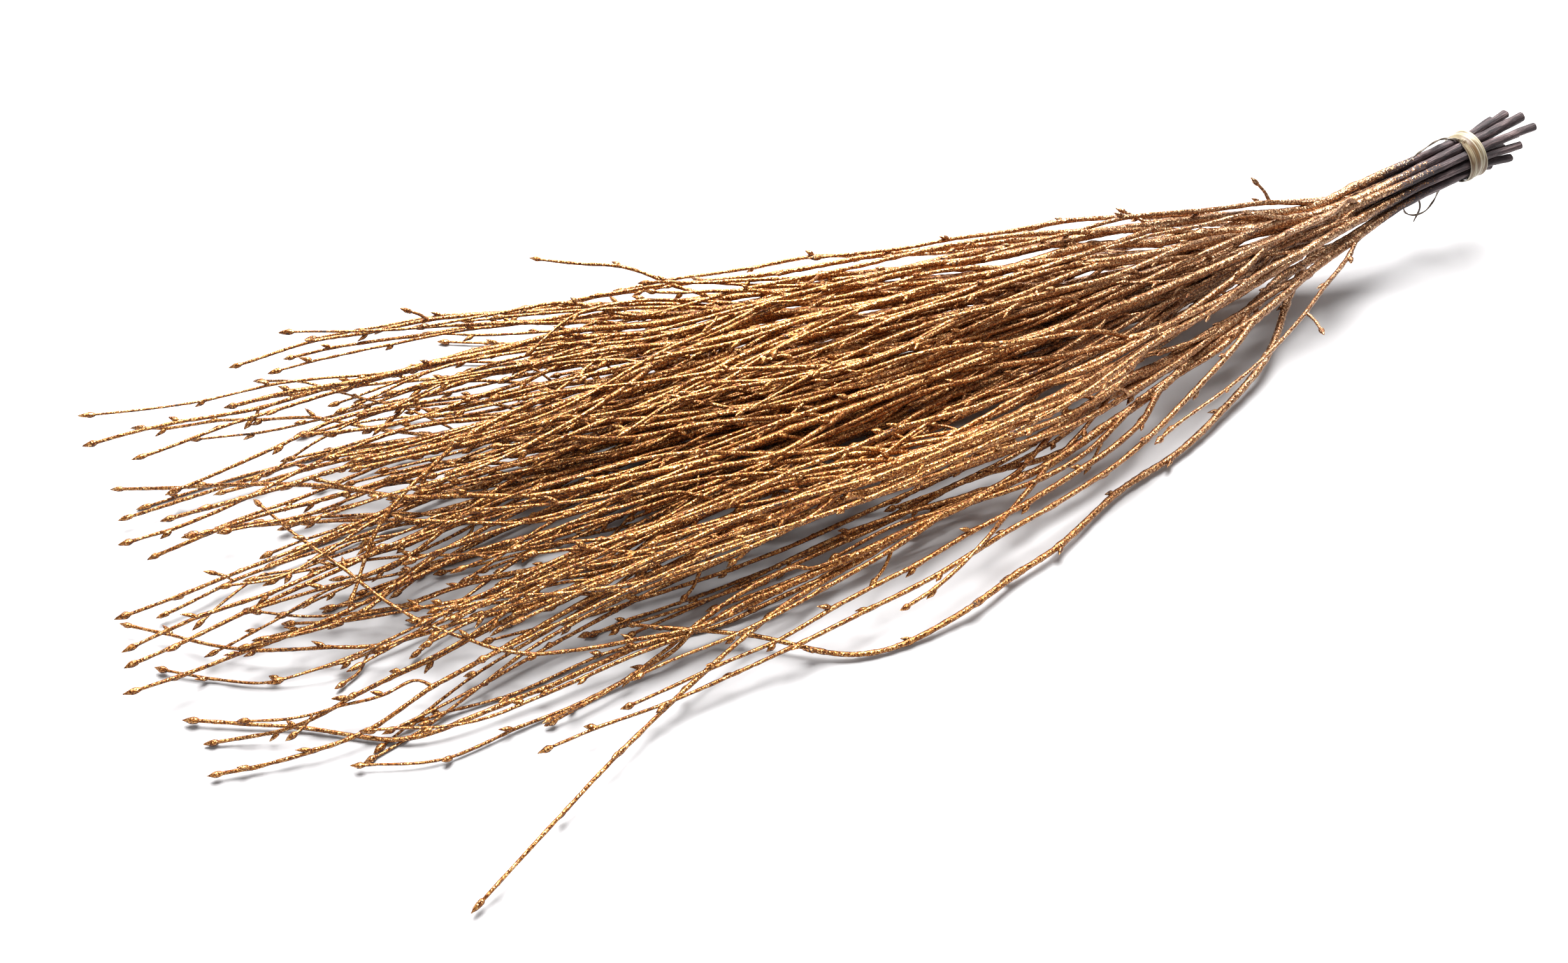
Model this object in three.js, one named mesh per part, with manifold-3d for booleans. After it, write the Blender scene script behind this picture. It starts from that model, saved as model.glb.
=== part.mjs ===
// A hand-tied bundle of birch twigs, lying on its side. Millimetres, +Z up.
//
// Fourteen stems are packed side by side at the tie, their cut ends standing a little
// apart on the +X side. Towards -X the stems spread into a low fan, and each one forks
// three times. Stem and branches are slender tapered limbs, split at those main forks. A
// flat bast strip is wound round the neck and leaves one long and one short tail.
//
// The limbs are first drawn along free curves, and then settled: wherever two come too
// close they push each other apart, as twigs do in a real bundle, until all are clear.

import * as THREE from "three";
import { mergeVertices } from "three/addons/utils/BufferGeometryUtils.js";
import Module from "manifold-3d";

// ---- Driving dimensions ----
const TIE_FROM_ENDS = 32; // along the bundle, from the farthest cut end to the tie's middle
const TIP_REACH = 630; // from the same cut end to the farthest tips
const END_STAGGER = 14; // the lowest stems' cut ends are this far behind the top ones'
const INNER_LANE = 3.2; // from the neck's axis to the four inner stems
const OUTER_LANE = 7.7; // and to the ten outer ones
const STEM_RADIUS = [1.65, 2.1]; // at the tie
const TIP_RADIUS = 0.8;
const GAP = 0.3; // left clear between touching pieces

const TIE_HEIGHT = 41; // the neck's axis above the surface, at the tie
const ENDS_HEIGHT = 46.5; // and at the cut ends, which stand clear of the surface
const FAN_HALF_WIDTH = 84; // at the tips
const FAN_HALF_HEIGHT = 21;
const FAN_SHIFT = 20; // the fan's middle lies this far to +Y at the tips
const CUT_END_FLARE = 1.6; // how much wider the stems stand at their cut ends than at the tie
const CUT_END_DROOP = 2.2; // and how much lower the lower ones do
const TIGHT = 8; // the stems stay packed this far beyond the tie's middle

const STRIP_HALF_WIDTH = 0.85; // the tie's bast strip
const STRIP_HALF_THICKNESS = 0.45;
const STRIP_TURNS = 3.4;
const STRIP_PITCH = 2.05;
const TAIL_HALF_SIZE = [0.5, 0.6]; // the strip is twisted thin where it leaves the neck

const RING_SPACING = 38; // between the limbs' cross-sections
const STEM_SIDES = 6;
const BRANCH_SIDES = 5;
const SEED = 20;

// ---- Small helpers ----
const { lerp, smoothstep, clamp } = THREE.MathUtils;
const vec = (x, y, z) => new THREE.Vector3(x, y, z);

// A seeded random generator (mulberry32), so that every build grows the same bundle.
function seeded(seed) {
  let state = seed;
  return () => {
    state = (state + 0x6d2b79f5) | 0;
    let t = Math.imul(state ^ (state >>> 15), 1 | state);
    t = (t + Math.imul(t ^ (t >>> 7), 61 | t)) ^ t;
    return ((t ^ (t >>> 14)) >>> 0) / 4294967296;
  };
}
const random = seeded(SEED);
const between = (low, high) => lerp(low, high, random());
const spread = (amount) => between(-amount, amount);

// ---- The bundle's outline, as functions of s, the distance from the cut ends ----
const axisHeight = (s) => {
  const neckSlope = (ENDS_HEIGHT - TIE_HEIGHT) / TIE_FROM_ENDS;
  const neck = ENDS_HEIGHT - neckSlope * s;
  const fan = lerp(FAN_HALF_HEIGHT + 4, FAN_HALF_HEIGHT, smoothstep(s, 250, TIP_REACH));
  return lerp(neck, fan, smoothstep(s, 70, 150));
};
const axisShift = (s) => FAN_SHIFT * smoothstep(s, 150, TIP_REACH);
const halfWidth = (s) => lerp(OUTER_LANE, FAN_HALF_WIDTH, smoothstep(s, TIE_FROM_ENDS, 560) ** 0.75);
const halfHeight = (s) => lerp(OUTER_LANE, FAN_HALF_HEIGHT, smoothstep(s, TIE_FROM_ENDS, 230));

// Where each stem sits in the tied neck: four in the middle and ten round them.
function lanes() {
  const rings = [
    { count: 4, radius: INNER_LANE },
    { count: 10, radius: OUTER_LANE },
  ];
  return rings.flatMap(({ count, radius }) =>
    Array.from({ length: count }, (_, i) => {
      const angle = (2 * Math.PI * (i + 0.5)) / count;
      return new THREE.Vector2(radius * Math.cos(angle), radius * Math.sin(angle));
    }),
  );
}

// Points along the bundle for a limb's cross-sections, from s0 to s1.
function stations(s0, s1, first = []) {
  const from = first.length ? first[first.length - 1] : s0;
  const steps = Math.max(2, Math.round((s1 - from) / RING_SPACING));
  const rest = Array.from({ length: steps }, (_, i) => lerp(from, s1, (i + 1) / steps));
  return [s0, ...first, ...rest];
}

// A slow sideways sway that grows along the limb.
function sway() {
  const phase = between(0, 2 * Math.PI);
  const waves = between(0.6, 1.4);
  const size = between(4, 14);
  return (t) => size * t * Math.sin(phase + 2 * Math.PI * waves * t);
}

// ---- Limbs ----
// A limb is { name, points, radii, sides, pinned, parent, forkRing }.
function growStem(lane, index) {
  const low = 0.5 - lane.y / (2 * OUTER_LANE);
  const s0 = index === 0 ? 0 : END_STAGGER * low + between(0, 6);
  const tip = TIP_REACH - between(0, 70);
  const baseRadius = between(...STEM_RADIUS);
  const across = clamp((0.85 * lane.x) / OUTER_LANE + spread(0.5), -1, 1);
  const up = clamp((0.8 * lane.y) / OUTER_LANE + spread(0.5), -1, 1);
  const swayY = sway();
  const swayZ = sway();
  const points = [];
  const radii = [];
  const packed = TIE_FROM_ENDS - TIGHT;
  for (const s of stations(s0, tip, [packed, TIE_FROM_ENDS, 68])) {
    const t = clamp((s - TIE_FROM_ENDS) / (TIP_REACH - TIE_FROM_ENDS), 0, 1);
    const inNeck = Math.min(1, s / packed);
    const flare = lerp(CUT_END_FLARE, 1, inNeck);
    const droop = lerp(lane.y < 0 ? CUT_END_DROOP : 1.1, 1, inNeck);
    const opened = smoothstep(s, TIE_FROM_ENDS, 230);
    const spreadTip = across * 16 * t ** 4;
    const y = lerp(lane.x * flare, across * halfWidth(s), opened) + swayY(t) + spreadTip;
    const z = lerp(lane.y * droop, up * halfHeight(s), opened) + 0.4 * swayZ(t);
    points.push(vec(TIE_FROM_ENDS - s, axisShift(s) + y, axisHeight(s) + z));
    radii.push(lerp(baseRadius, TIP_RADIUS, t ** 1.2));
  }
  const name = `stem_${String(index + 1).padStart(2, "0")}`;
  return { name, points, radii, sides: STEM_SIDES, pinned: 3, across, up };
}

function growBranch(stem, letter, forkRing, side) {
  const fork = stem.points[forkRing];
  const forkS = TIE_FROM_ENDS - fork.x;
  const stemTip = TIE_FROM_ENDS - stem.points[stem.points.length - 1].x;
  const tip = Math.min(stemTip - between(0, 40), forkS + between(230, 400));
  const baseRadius = stem.radii[forkRing] * between(0.7, 0.88);
  const across = clamp(stem.across + side * between(0.15, 0.6), -1.1, 1.1);
  const up = clamp(stem.up + spread(0.8), -1, 1);
  const away = vec(0, side * 0.85, 0.7 * Math.sign(spread(1))).normalize();
  const swayY = sway();
  const points = [fork.clone()];
  const radii = [baseRadius];
  const stemLine = new THREE.CatmullRomCurve3(stem.points);
  for (const s of stations(forkS, tip, [forkS + 15, forkS + 42]).slice(1)) {
    const t = (s - forkS) / (tip - forkS);
    const along = stemLine.getPoint(lineParameter(stem.points, TIE_FROM_ENDS - s));
    const parted = smoothstep(s - forkS, 0, 200);
    const kick = 9 * smoothstep(s - forkS, -12, 42) * (1 - parted);
    along.y += (across - stem.across) * halfWidth(s) * parted + away.y * kick + swayY(t);
    along.z += (up - stem.up) * halfHeight(s) * parted + away.z * kick;
    points.push(vec(TIE_FROM_ENDS - s, along.y, along.z));
    radii.push(lerp(baseRadius, TIP_RADIUS, t ** 1.2));
  }
  const name = `${stem.name}_branch_${letter}`;
  return { name, points, radii, sides: BRANCH_SIDES, pinned: 0, parent: stem, forkRing };
}

// The parameter, from 0 to 1, at which a line through points that run along -X reaches x.
function lineParameter(points, x) {
  const last = points.length - 1;
  const next = points.findIndex((p) => p.x <= x);
  if (next < 0) return 1;
  if (next === 0) return 0;
  const [a, b] = [points[next - 1], points[next]];
  return (next - 1 + (a.x - x) / (a.x - b.x)) / last;
}

// The signature twigs that stand out of the mass. Each re-routes one limb, past the rings
// where it leaves the neck or its stem, through points given as [x from the tie, y, height].
const STRAYS = {
  stem_11_branch_a: [
    [-135, -44, 8],
    [-200, -71, 4],
    [-300, -98, 3],
    [-350, -100, 3],
    [-392, -78, 6],
    [-424, -59, 9],
  ],
  stem_11: [
    [-240, -48, 22],
    [-412, -45, 20],
    [-480, -48, 12],
    [-524, -57, 6],
    [-572, -49, 3],
  ],
  stem_10: [
    [-220, -54, 16],
    [-347, -66, 13],
    [-446, -67, 9],
    [-514, -62, 4],
    [-549, -41, 3],
    [-576, -27, 3],
  ],
  stem_10_branch_a: [
    [-377, -76, 8],
    [-434, -99, 5],
    [-505, -134, 2],
  ],
  stem_10_branch_b: [
    [-430, -66, 13],
    [-472, -52, 15],
    [-500, -22, 19],
    [-534, 41, 26],
  ],
  stem_10_branch_c: [
    [-441, -78, 7],
    [-462, -81, 4],
  ],
  stem_09: [
    [-240, -44, 32],
    [-416, -47, 26],
    [-472, -44, 17],
    [-533, -49, 8],
    [-572, -39, 3],
  ],
  stem_09_branch_b: [
    [-394, -42, 24],
    [-470, -38, 17],
    [-515, -27, 9],
    [-558, -5, 6],
    [-590, 22, 6],
  ],
  stem_08: [
    [-300, -18, 36],
    [-408, -14, 36],
    [-464, 5, 33],
    [-516, 38, 28],
    [-580, 74, 22],
  ],
  stem_07_branch_c: [
    [-415, 32, 43],
    [-453, 23, 44],
    [-483, 14, 42],
    [-498, 1, 36],
    [-512, -16, 27],
  ],
};

function reroute(limb, guide) {
  const keep = limb.parent ? 2 : 4;
  const kept = limb.points.slice(0, keep);
  const line = new THREE.CatmullRomCurve3([...kept, ...guide.map((p) => vec(...p))], false, "centripetal");
  const start = new THREE.CatmullRomCurve3(kept, false, "centripetal").getLength() / line.getLength();
  const count = limb.points.length;
  for (let i = keep; i < count; i++) {
    const t = lerp(start, 1, (i - keep + 1) / (count - keep));
    limb.points[i].copy(line.getPointAt(t));
  }
}

// Where the strays' own stems fork.
const FORK_RINGS = { stem_11: [4, 7, 9], stem_10: [9, 12, 11], stem_09: [5, 9, 11], stem_07: [5, 8, 11] };

function grow() {
  const stems = lanes().map(growStem);
  for (const stem of stems) if (STRAYS[stem.name]) reroute(stem, STRAYS[stem.name]);
  const branches = stems.flatMap((stem) => {
    const side = stem.across > 0 ? -1 : 1;
    const first = 4 + Math.floor(between(0, 1.99));
    const second = first + 2 + Math.floor(between(0, 1.99));
    const third = second + 2 + Math.floor(between(0, 1.99));
    const forks = FORK_RINGS[stem.name] ?? [first, second, third];
    const back = Math.abs(stem.across) > 0.6 ? side : -side;
    return forks.map((ring, i) => growBranch(stem, "abc"[i], ring, i === 1 ? back : side));
  });
  for (const limb of branches) if (STRAYS[limb.name]) reroute(limb, STRAYS[limb.name]);
  return [...stems, ...branches];
}

// ---- Settling: limbs that come too close push each other apart ----
const SETTLE_ROUNDS = 400;
const SETTLE_MARGIN = 0.1; // pushed this much further than needed, so that the pushing ends

// A branch's first stretch starts inside its own stem, so those two don't push.
const joined = (a, b) => a.limb.parent === b.limb && a.ring === 0;

function settle(limbs) {
  const segments = limbs.flatMap((limb) =>
    limb.points.slice(1).map((_, ring) => ({
      limb,
      ring,
      line: new THREE.Line3(limb.points[ring], limb.points[ring + 1]),
      push: [vec(0, 0, 0), vec(0, 0, 0)],
    })),
  );
  for (let round = 0; round < SETTLE_ROUNDS; round++) {
    const worst = pushApart(segments);
    if (worst < GAP / 10) return worst;
    for (const limb of limbs) move(limb, segments);
    for (const limb of limbs) if (limb.parent) limb.points[0].copy(limb.parent.points[limb.forkRing]);
  }
  return pushApart(segments);
}

// Fills in each segment's push and returns the largest shortfall in clearance.
function pushApart(segments) {
  let worst = 0;
  const [onA, onB, apart] = [vec(0, 0, 0), vec(0, 0, 0), vec(0, 0, 0)];
  for (const { push } of segments) push.forEach((p) => p.set(0, 0, 0));
  segments.forEach((a, i) => {
    for (const b of segments.slice(i + 1)) {
      if (a.limb === b.limb || joined(a, b) || joined(b, a)) continue;
      const reach = a.limb.radii[a.ring] + b.limb.radii[b.ring] + GAP;
      if (a.line.end.x > b.line.start.x + reach || b.line.end.x > a.line.start.x + reach) continue;
      const distance = Math.sqrt(a.line.distanceSqToLine3(b.line, onA, onB));
      if (distance >= reach + SETTLE_MARGIN) continue;
      worst = Math.max(worst, reach - distance);
      apart.subVectors(onA, onB);
      if (distance < 1e-3) apart.set(0, 0, 1);
      apart.setLength((reach + SETTLE_MARGIN - distance) / 2);
      share(a, onA, apart, 1);
      share(b, onB, apart, -1);
    }
  });
  return worst;
}

// Splits a push on a segment between its two ends.
function share(segment, point, push, sign) {
  const t = segment.line.closestPointToPointParameter(point, true);
  segment.push[0].addScaledVector(push, sign * (1 - t));
  segment.push[1].addScaledVector(push, sign * t);
}

// Moves a limb's rings by the pushes on the segments either side, smoothed along the limb.
function move(limb, segments) {
  const own = segments.filter((segment) => segment.limb === limb);
  const shift = limb.points.map((_, ring) => {
    const total = vec(0, 0, 0);
    if (own[ring - 1]) total.add(own[ring - 1].push[1]);
    if (own[ring]) total.add(own[ring].push[0]);
    return total;
  });
  limb.points.forEach((point, ring) => {
    if (ring < limb.pinned) return;
    const before = shift[ring - 1] ?? shift[ring];
    const after = shift[ring + 1] ?? shift[ring];
    point.addScaledVector(shift[ring], 0.6).addScaledVector(before, 0.2).addScaledVector(after, 0.2);
    point.z = Math.max(point.z, limb.radii[ring]);
  });
}

// ---- Solids ----
const wasm = await Module();
wasm.setup();

// A straight unit cylinder bent and tapered along a route: its cross-section at each point
// has the half-sizes given, the first of them along the frame's first direction.
function bend(points, sizes, sides, frames, endSlant = 0) {
  const last = points.length - 1;
  const geometry = new THREE.CylinderGeometry(1, 1, 1, sides, last);
  const position = geometry.getAttribute("position");
  const local = vec(0, 0, 0);
  for (let i = 0; i < position.count; i++) {
    local.fromBufferAttribute(position, i);
    const ring = Math.round((0.5 - local.y) * last);
    const { along, first, second } = frames[ring];
    const [a, b] = [local.x * sizes[ring][0], local.z * sizes[ring][1]];
    const slant = ring === 0 ? endSlant * a : 0;
    local.copy(points[ring]).addScaledVector(first, a).addScaledVector(second, b);
    local.addScaledVector(along, slant);
    position.setXYZ(i, local.x, local.y, local.z);
  }
  geometry.deleteAttribute("uv");
  geometry.deleteAttribute("normal");
  return mergeVertices(geometry, 1e-4);
}

// Directions along and across a route, turning as little as possible from ring to ring.
function leastTurning(points) {
  let first = vec(0, 0, 1);
  return points.map((point, i) => {
    const before = points[Math.max(0, i - 1)];
    const after = points[Math.min(points.length - 1, i + 1)];
    const along = after.clone().sub(before).normalize();
    first = first.clone().addScaledVector(along, -first.dot(along)).normalize();
    return { along, first, second: along.clone().cross(first) };
  });
}

const limbGeometry = (limb, extra = 0, slant = 0) =>
  bend(limb.points, limb.radii.map((r) => [r + extra, r + extra]), limb.sides, leastTurning(limb.points), slant);

function solidOf(geometry) {
  const vertProperties = new Float32Array(geometry.getAttribute("position").array);
  return new wasm.Manifold(new wasm.Mesh({ numProp: 3, vertProperties, triVerts: new Uint32Array(geometry.index.array) }));
}

function geometryOf(solid) {
  const { vertProperties, triVerts } = solid.getMesh();
  const geometry = new THREE.BufferGeometry();
  geometry.setAttribute("position", new THREE.BufferAttribute(new Float32Array(vertProperties), 3));
  geometry.setIndex(new THREE.BufferAttribute(new Uint32Array(triVerts), 1));
  return geometry;
}

// A branch is cut off where it would enter its stem, a small gap short of the bark.
function branchGeometry(branch) {
  const room = solidOf(limbGeometry(branch.parent, GAP));
  return geometryOf(solidOf(limbGeometry(branch)).subtract(room));
}

// ---- The tie: a bast strip wound round the neck ----
const NECK_TILT = Math.atan2(ENDS_HEIGHT - TIE_HEIGHT, TIE_FROM_ENDS);
const NECK_AXIS = vec(Math.cos(NECK_TILT), 0, Math.sin(NECK_TILT)); // towards the cut ends
const NECK_SIDE = vec(0, 1, 0);
const NECK_UP = NECK_AXIS.clone().cross(NECK_SIDE);
const WOUND_RADIUS = OUTER_LANE + STEM_RADIUS[1] + GAP + STRIP_HALF_THICKNESS + 0.2;
const STEPS_PER_TURN = 20;
const START_ANGLE = 0.56 * Math.PI; // on top, where the short tail leaves

// A point at the neck: along its axis, and out from it at an angle from +Y towards the top.
const outward = (angle) =>
  NECK_SIDE.clone().multiplyScalar(Math.cos(angle)).addScaledVector(NECK_UP, Math.sin(angle));
const atNeck = (along, angle, radius) =>
  outward(angle).multiplyScalar(radius).addScaledVector(NECK_AXIS, along).add(vec(0, 0, TIE_HEIGHT));

// The long tail hangs under the neck in a loose curl, and the short one stands off its far
// side. Both are given as [x from the tie, y, height], from the winding outwards.
const LONG_TAIL = [
  [1, 1, 26.5],
  [-4.5, 1, 23.5],
  [-10, -2.5, 22],
  [-13.5, -3, 17],
  [-17, -0.5, 13.8],
  [-21, 1.5, 15.5],
  [-20.5, 3.5, 19],
  [-15, 3, 20.5],
  [-12, 1.5, 15],
  [-13.7, 0.5, 8],
];
const SHORT_TAIL = [
  [-6, 7, 48],
  [-14, 6, 49.5],
  [-24, 4, 48.5],
  [-33, 2, 46],
];

// Points on a smooth curve that starts at the strip's end, going the way the strip goes.
function tail(start, direction, guide, count) {
  const lead = start.clone().addScaledVector(direction, 2.5);
  const line = new THREE.CatmullRomCurve3([start, lead, ...guide.map((p) => vec(...p))], false, "centripetal");
  return Array.from({ length: count }, (_, i) => line.getPoint((i + 1) / count));
}

function tieGeometry() {
  const steps = Math.round(STRIP_TURNS * STEPS_PER_TURN);
  const angles = Array.from({ length: steps + 1 }, (_, i) => START_ANGLE + (2 * Math.PI * i) / STEPS_PER_TURN);
  const wound = angles.map((angle, i) =>
    atNeck((i / STEPS_PER_TURN - STRIP_TURNS / 2) * STRIP_PITCH, angle, WOUND_RADIUS),
  );
  const [one, two] = [wound[0], wound[1]];
  const [last, beforeLast] = [wound[steps], wound[steps - 1]];
  const short = tail(one, one.clone().sub(two).normalize(), SHORT_TAIL, 9).reverse();
  const long = tail(last, last.clone().sub(beforeLast).normalize(), LONG_TAIL, 26);
  const points = [...short, ...wound, ...long];
  const outwards = [
    ...short.map(() => outward(angles[0])),
    ...angles.map(outward),
    ...long.map(() => outward(angles[steps])),
  ];
  const frames = points.map((_, i) => {
    const along = points[Math.min(points.length - 1, i + 1)].clone().sub(points[Math.max(0, i - 1)]).normalize();
    const first = outwards[i].clone().addScaledVector(along, -outwards[i].dot(along)).normalize();
    return { along, first, second: along.clone().cross(first) };
  });
  const sizes = points.map((_, i) => {
    const beyond = Math.max(short.length - i, i - (short.length + steps), 0);
    const thin = smoothstep(beyond, 0, 4);
    return [
      lerp(STRIP_HALF_THICKNESS, TAIL_HALF_SIZE[0], thin),
      lerp(STRIP_HALF_WIDTH, TAIL_HALF_SIZE[1], thin),
    ];
  });
  return bend(points, sizes, 6, frames);
}

// ---- Assembly ----
const twig = new THREE.MeshStandardMaterial({ name: "twig", color: 0xb08450, roughness: 0.5, metalness: 0.4 });
const bast = new THREE.MeshStandardMaterial({ name: "bast", color: 0xb5a67c, roughness: 0.6 });

function piece(name, geometry, material) {
  const mesh = new THREE.Mesh(geometry, material);
  mesh.name = name;
  return mesh;
}

function bundle() {
  const limbs = grow();
  settle(limbs);
  const group = new THREE.Group();
  group.name = "twig_bundle";
  for (const limb of limbs) {
    const slant = limb.parent ? 0 : spread(0.25);
    const geometry = limb.parent ? branchGeometry(limb) : limbGeometry(limb, 0, slant);
    group.add(piece(limb.name, geometry, twig));
  }
  group.add(piece("tie_strip", tieGeometry(), bast));
  const box = new THREE.Box3().setFromObject(group);
  const middle = box.getCenter(vec(0, 0, 0));
  const toOrigin = vec(-middle.x, -middle.y, -box.min.z);
  for (const mesh of group.children) mesh.geometry.translate(toOrigin.x, toOrigin.y, toOrigin.z);
  return group;
}

export default bundle();
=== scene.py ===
"""A hand-tied bundle of glittered birch twigs, lying on a white surface.

Every limb of the CAD model is replaced by a detailed twig that follows the same line: a
slightly zigzag stem with a bud at each bend, short spurs, fine side twigs, wrinkled bark
near the tie, and a crust of gold glitter from there to the tips. The tie is rebuilt as a
flat fibrous bast strip wound in overlapping turns. Metres, in the frame of the CAD model.
"""

import math

import bpy
import numpy as np
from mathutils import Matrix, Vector


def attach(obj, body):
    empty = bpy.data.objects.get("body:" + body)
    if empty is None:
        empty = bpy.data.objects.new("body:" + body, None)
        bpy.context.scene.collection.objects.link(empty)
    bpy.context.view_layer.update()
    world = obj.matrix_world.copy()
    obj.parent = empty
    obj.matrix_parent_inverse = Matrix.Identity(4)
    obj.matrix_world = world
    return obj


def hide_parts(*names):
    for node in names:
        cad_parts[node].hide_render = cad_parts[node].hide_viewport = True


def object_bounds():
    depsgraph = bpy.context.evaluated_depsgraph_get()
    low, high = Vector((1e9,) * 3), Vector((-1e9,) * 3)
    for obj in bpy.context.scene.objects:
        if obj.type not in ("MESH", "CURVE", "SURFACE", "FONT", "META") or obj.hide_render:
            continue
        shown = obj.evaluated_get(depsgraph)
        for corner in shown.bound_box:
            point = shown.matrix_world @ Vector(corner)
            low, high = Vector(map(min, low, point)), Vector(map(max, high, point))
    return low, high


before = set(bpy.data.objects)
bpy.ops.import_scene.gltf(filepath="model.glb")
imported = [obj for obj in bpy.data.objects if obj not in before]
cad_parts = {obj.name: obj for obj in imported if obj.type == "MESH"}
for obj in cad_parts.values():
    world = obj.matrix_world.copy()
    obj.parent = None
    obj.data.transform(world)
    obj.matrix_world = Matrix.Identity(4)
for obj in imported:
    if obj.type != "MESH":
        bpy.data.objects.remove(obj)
cad_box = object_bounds()
rng = np.random.default_rng(11)
MM = 0.001

STEP = 1.3 * MM  # between a twig's cross-sections
FINE_STEP = 1.9 * MM  # and a fine side twig's
STEM_SIDES, BRANCH_SIDES, FINE_SIDES = 11, 9, 6
CRUST = 0.22 * MM  # the glitter layer's thickness and roughness
GILDED_FROM, GILDED_TO = 35 * MM, 80 * MM  # past the tie, where the glitter sets in
WANDER = 3.0 * MM  # how far a twig drifts from the CAD limb's line
STEM_SWELL = 1.04  # a stem's bark, against the CAD limb
STEM_BARE, BRANCH_BARE, SIDE_BARE = 75 * MM, 22 * MM, 8 * MM  # bases without buds
SIDE_TWIGS = 0.62  # of the bends carry a fine side twig
LUSH_SHARE = 1.5  # times as many on the near side's stems
SIDE_TIP_RADIUS = 0.62 * MM
GRAIN_STEP = 1.37  # between pieces, along the grain, so that no two share a pattern


# ---------------------------------------------------------------- reading the CAD limbs


def corners(node):
    """A CAD node's corners, each once, from the tips (lowest x) to the cut ends."""
    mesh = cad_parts[node].data
    points = np.empty(len(mesh.vertices) * 3)
    mesh.vertices.foreach_get("co", points)
    return np.unique(points.reshape(-1, 3).round(7), axis=0)


def rings(node, sides):
    """The limb's whole cross-sections as (centres, radii), from its base to its tip."""
    points = corners(node)
    splits = np.flatnonzero(np.diff(points[:, 0]) > 3 * MM) + 1
    centres, radii = [], []
    for group in np.split(points, splits):
        whole = len(group) <= sides + 1
        group = group[:sides] if not whole else group
        centre = group.mean(axis=0)
        centres.append(centre)
        radii.append(np.sort(np.linalg.norm(group - centre, axis=1))[-sides:].mean())
        if not whole:
            break
    return np.array(centres[::-1]), np.array(radii[::-1])


STEMS = {f"stem_{i:02d}": rings(f"stem_{i:02d}", 6) for i in range(1, 15)}
BEFORE_TIE, TIE = (np.mean([centres[k] for centres, _ in STEMS.values()], axis=0) for k in (1, 2))


def branch_rings(stem, letter):
    """A branch's cross-sections, with a first one inside its stem, where it forks off."""
    centres, radii = rings(f"{stem}_branch_{letter}", 5)
    line = STEMS[stem][0][::-1]
    x = centres[0, 0] + 15 * MM
    fork = np.array([np.interp(x, line[:, 0], line[:, k]) for k in range(3)])
    return np.vstack([fork, centres]), np.append(radii[0] * 1.1, radii)


# ---------------------------------------------------------------- lines and noise


def unit(vector):
    return vector / np.linalg.norm(vector)


def unit_rows(vectors):
    return vectors / np.linalg.norm(vectors, axis=1)[:, None]


def arc_lengths(points):
    return np.append(0, np.cumsum(np.linalg.norm(np.diff(points, axis=0), axis=1)))


def smooth_line(points, step=STEP):
    """Evenly spaced points on a smooth curve through the given ones, with their arc lengths."""
    p = np.vstack([2 * points[0] - points[1], points, 2 * points[-1] - points[-2]])
    t = np.linspace(0, 1, 24, endpoint=False)[:, None]
    parts = []
    for a, b, c, d in zip(p, p[1:], p[2:], p[3:]):
        parts.append(
            0.5 * (2 * b + (c - a) * t + (2 * a - 5 * b + 4 * c - d) * t**2 + (3 * b - a - 3 * c + d) * t**3)
        )
    dense = np.vstack(parts + [points[-1:]])
    arc = arc_lengths(dense)
    even = np.linspace(0, arc[-1], max(4, round(arc[-1] / step)) + 1)
    return np.stack([np.interp(even, arc, dense[:, k]) for k in range(3)], axis=1), even


def frames(line, start=(0.0, 0.0, 1.0)):
    """Directions along and across a line, turning as little as possible."""
    along = unit_rows(np.gradient(line, axis=0))
    first = np.empty_like(along)
    side = np.array(start)
    for i, direction in enumerate(along):
        side = unit(side - direction * side.dot(direction))
        first[i] = side
    return along, first, np.cross(along, first)


def noise(points, size, seed=0):
    """Smooth random values from -1 to 1 that vary over the given size."""
    p = points / size
    cell = np.floor(p).astype(np.int64)
    f = p - cell
    f = f * f * (3 - 2 * f)
    total = np.zeros(len(points))
    for corner in range(8):
        offset = np.array([corner & 1, corner >> 1 & 1, corner >> 2 & 1])
        weight = np.prod(np.where(offset, f, 1 - f), axis=1)
        h = (cell + offset).astype(np.uint64) * np.array([73856093, 19349663, 83492791], np.uint64)
        h = h[:, 0] ^ h[:, 1] ^ h[:, 2] ^ np.uint64(seed * 2654435761 + 97)
        h = (h ^ (h >> np.uint64(13))) * np.uint64(0x5BD1E995)
        h = (h ^ (h >> np.uint64(15))) * np.uint64(0x27D4EB2F)
        total += weight * ((h >> np.uint64(7)) & np.uint64(0xFFFF)).astype(float) / 32767.5
    return total - 1


def ramp(x, low, high):
    """0 at low, 1 at high, smooth between them."""
    t = np.clip((x - low) / (high - low), 0, 1)
    return t * t * (3 - 2 * t)


def gilded(points):
    """How thick the glitter is at these points: none on the neck, all of it on the fan."""
    return ramp(TIE[0] - points[..., 0], GILDED_FROM, GILDED_TO)


# ---------------------------------------------------------------- mesh parts


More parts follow.
